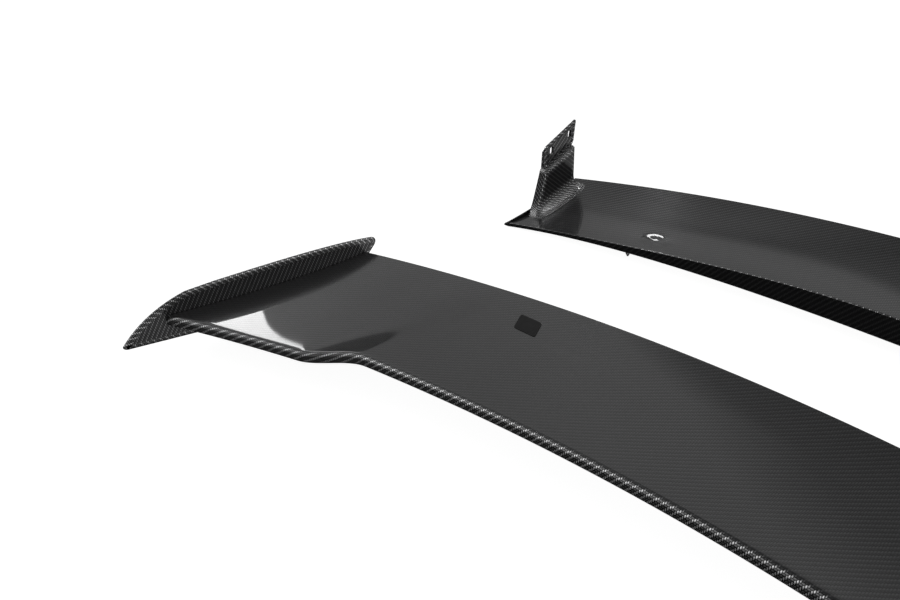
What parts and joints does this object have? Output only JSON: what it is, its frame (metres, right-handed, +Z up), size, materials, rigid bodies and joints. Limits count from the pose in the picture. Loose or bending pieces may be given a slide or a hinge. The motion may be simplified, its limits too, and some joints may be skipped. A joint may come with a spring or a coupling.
{
  "type": "racing rear wing",
  "caption": "Two-tier carbon-fibre rear wing laid out for fitting: arched upper blade with end plates beside a lower lip wing with slotted pylons.",
  "frame": {"origin": "middle of the laid-out set's footprint, on the surface that it stands on", "axes": "+X along the span, +Y to the rear of the car (from the upper wing to the lower wing as laid out), +Z up"},
  "size_m": [1.506, 0.845, 0.1359],
  "materials": {
    "carbon": "clear-coated 2x2 twill carbon fibre, high gloss",
    "raw_carbon": "bare laminate, matt",
    "core_foam": "structural foam",
    "zinc_steel": "zinc plated, satin",
    "bonding_tape": "black acrylic foam tape",
    "black_trim": "satin black, blank"
  },
  "bodies": {
    "lower_wing": {"lower_top_skin_left_outer": "carbon", "lower_top_skin_left_inner": "carbon", "lower_top_skin_right_inner": "carbon", "lower_top_skin_right_outer": "carbon", "lower_bottom_panel": "carbon", "lower_rear_wall": "carbon", "lower_ribs": "raw_carbon", "winglet_left": "carbon", "winglet_right": "carbon", "pylon_left": "carbon", "pylon_right": "carbon", "pylon_core_left": "core_foam", "pylon_core_right": "core_foam", "mounting_tab_left": "carbon", "mounting_tab_right": "carbon", "stud_pads": "zinc_steel", "mounting_studs": "zinc_steel", "tape_strip_front": "bonding_tape", "tape_strip_rear": "bonding_tape"},
    "pivot_bosses": {"pivot_boss_left": "zinc_steel", "pivot_boss_right": "zinc_steel", "pivot_clip_left": "zinc_steel", "pivot_clip_right": "zinc_steel"},
    "upper_wing": {"upper_top_skin_left_outer": "carbon", "upper_top_skin_left_inner": "carbon", "upper_top_skin_right_inner": "carbon", "upper_top_skin_right_outer": "carbon", "upper_bottom_skin_left_outer": "carbon", "upper_bottom_skin_left_inner": "carbon", "upper_bottom_skin_right_inner": "carbon", "upper_bottom_skin_right_outer": "carbon", "upper_front_spar": "raw_carbon", "upper_rear_spar": "raw_carbon", "upper_ribs": "raw_carbon", "root_block_left": "core_foam", "root_block_right": "core_foam", "end_plate_left": "carbon", "end_plate_right": "carbon", "label_plate": "black_trim", "angle_boss_left": "zinc_steel", "angle_boss_right": "zinc_steel"}
  },
  "joints": [
    {"name": "fitting_slide", "type": "slide", "parent": "lower_wing", "child": "pivot_bosses", "axis": [0, 0.9848, 0.1735], "range_m": [0, 0.47826]},
    {"name": "wing_angle", "type": "hinge", "parent": "pivot_bosses", "child": "upper_wing", "pos_m": [0, -0.2065, 0.016], "axis": [1, 0, 0], "range_deg": [-4, 4]}
  ]
}
